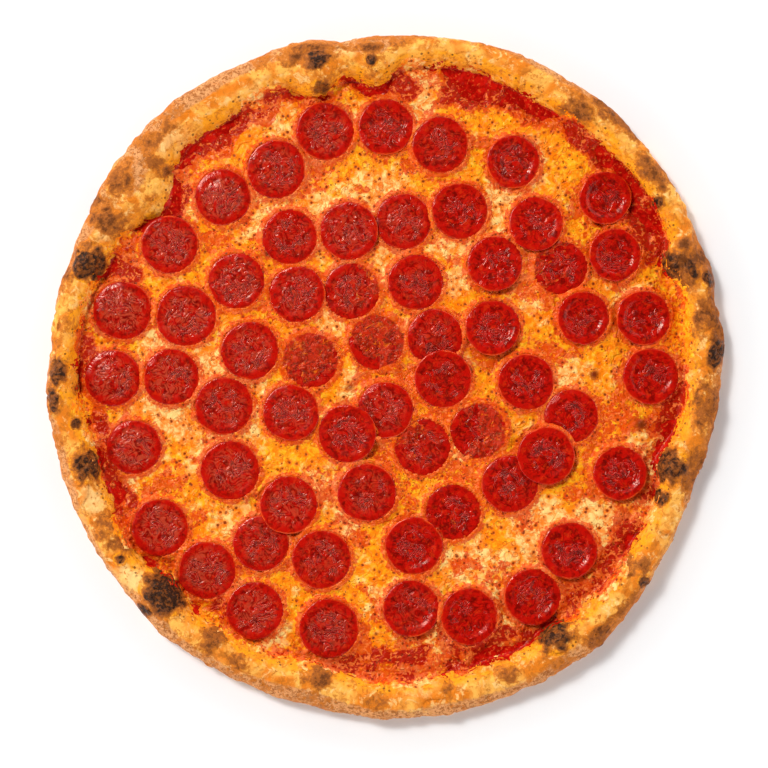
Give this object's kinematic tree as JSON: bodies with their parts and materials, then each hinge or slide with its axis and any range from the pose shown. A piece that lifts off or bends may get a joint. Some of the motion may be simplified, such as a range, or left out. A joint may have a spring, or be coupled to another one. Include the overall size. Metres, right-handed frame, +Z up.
{
  "type": "pepperoni pizza",
  "caption": "Whole round baked pizza with a risen, blistered crust rim, red sauce, melted cheese and round slices of pepperoni, some overlapping.",
  "frame": {"origin": "on the ground under the middle of the crust's outline", "axes": "+Z up through the toppings; +X to the right and +Y away, as the pizza is seen from straight above"},
  "size_m": [0.4062, 0.4087, 0.0252],
  "materials": {
    "baked_crust": "matt baked dough, golden with floury sides and dark blisters",
    "tomato_sauce": "wet, glossy",
    "melted_cheese": "oily, satin, mottled yellow and orange",
    "pepperoni": "oily, wrinkled, satin to glossy"
  },
  "bodies": {
    "root": {"crust": "baked_crust", "sauce": "tomato_sauce", "cheese": "melted_cheese", "pepperoni_01": "pepperoni", "pepperoni_02": "pepperoni", "pepperoni_03": "pepperoni", "pepperoni_04": "pepperoni", "pepperoni_05": "pepperoni", "pepperoni_06": "pepperoni", "pepperoni_07": "pepperoni", "pepperoni_08": "pepperoni", "pepperoni_09": "pepperoni", "pepperoni_10": "pepperoni", "pepperoni_11": "pepperoni", "pepperoni_12": "pepperoni", "pepperoni_13": "pepperoni", "pepperoni_14": "pepperoni", "pepperoni_15": "pepperoni", "pepperoni_16": "pepperoni", "pepperoni_17": "pepperoni", "pepperoni_18": "pepperoni", "pepperoni_19": "pepperoni", "pepperoni_20": "pepperoni", "pepperoni_21": "pepperoni", "pepperoni_22": "pepperoni", "pepperoni_23": "pepperoni", "pepperoni_24": "pepperoni", "pepperoni_25": "pepperoni", "pepperoni_26": "pepperoni", "pepperoni_27": "pepperoni", "pepperoni_28": "pepperoni", "pepperoni_29": "pepperoni", "pepperoni_30": "pepperoni", "pepperoni_31": "pepperoni", "pepperoni_32": "pepperoni", "pepperoni_33": "pepperoni", "pepperoni_34": "pepperoni", "pepperoni_35": "pepperoni", "pepperoni_36": "pepperoni", "pepperoni_37": "pepperoni", "pepperoni_38": "pepperoni", "pepperoni_39": "pepperoni", "pepperoni_40": "pepperoni", "pepperoni_41": "pepperoni", "pepperoni_42": "pepperoni", "pepperoni_43": "pepperoni", "pepperoni_44": "pepperoni", "pepperoni_45": "pepperoni", "pepperoni_46": "pepperoni", "pepperoni_47": "pepperoni", "pepperoni_48": "pepperoni", "pepperoni_49": "pepperoni", "pepperoni_50": "pepperoni", "pepperoni_51": "pepperoni", "pepperoni_52": "pepperoni", "pepperoni_53": "pepperoni", "pepperoni_54": "pepperoni", "pepperoni_55": "pepperoni", "pepperoni_56": "pepperoni", "pepperoni_57": "pepperoni"}
  },
  "joints": []
}
